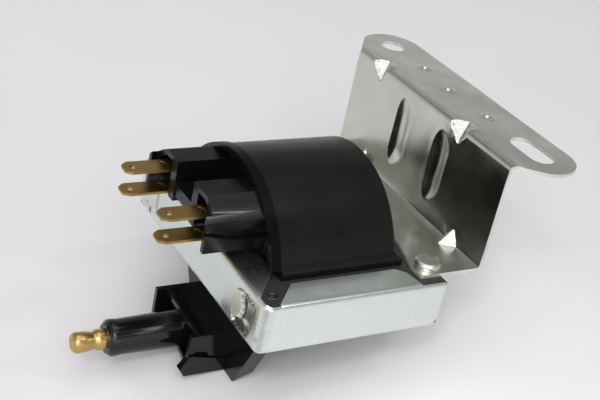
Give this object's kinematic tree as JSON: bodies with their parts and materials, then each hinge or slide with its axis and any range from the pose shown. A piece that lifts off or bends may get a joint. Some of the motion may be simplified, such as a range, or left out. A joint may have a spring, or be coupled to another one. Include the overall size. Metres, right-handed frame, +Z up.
{
  "type": "ignition coil",
  "caption": "Ignition coil with a round black case in a plated steel core frame, two hooded blade connectors, a high-tension tower and a riveted mounting bracket.",
  "frame": {"origin": "centre of the bracket's round mounting hole at the top face of its flange", "axes": "+X along the coil from the connectors towards the bracket, +Y across the core from the slot towards the round hole, +Z up through the mounting hole"},
  "size_m": [0.1331, 0.1011, 0.0775],
  "materials": {
    "shroud_zinc": "zinc plated, satin",
    "bracket_zinc": "zinc plated, satin",
    "lamination_steel": "dark, dull",
    "rivet_zinc": "zinc plated",
    "case_plastic": "satin moulded",
    "hood_plastic": "satin moulded",
    "ht_plastic": "semi gloss moulded",
    "bobbin_plastic": "glass filled",
    "spacer_board": "fibre board",
    "paper": "paper",
    "copper_wire": "enamelled",
    "epoxy": "cast",
    "blade_brass": "rolled",
    "terminal_brass": "turned"
  },
  "bodies": {
    "root": {"core_shroud": "shroud_zinc", "core_e_stack": "lamination_steel", "core_i_stack": "lamination_steel", "core_gap_spacer": "spacer_board", "stack_pins": "lamination_steel", "coil_case": "case_plastic", "primary_bobbin": "bobbin_plastic", "primary_winding": "copper_wire", "primary_wrap": "paper", "secondary_bobbin": "bobbin_plastic", "secondary_winding": "copper_wire", "epoxy_potting": "epoxy", "connector_cover": "hood_plastic", "bus_upper": "blade_brass", "bus_lower": "blade_brass", "primary_lead_start": "copper_wire", "primary_lead_finish": "copper_wire", "ht_housing": "ht_plastic", "ht_insert": "terminal_brass", "ht_terminal": "terminal_brass", "ht_lead": "copper_wire", "mounting_bracket": "bracket_zinc", "bracket_rivets": "rivet_zinc", "blade_far_upper": "blade_brass", "blade_far_lower": "blade_brass", "blade_near_upper": "blade_brass", "blade_near_lower": "blade_brass"}
  },
  "joints": []
}
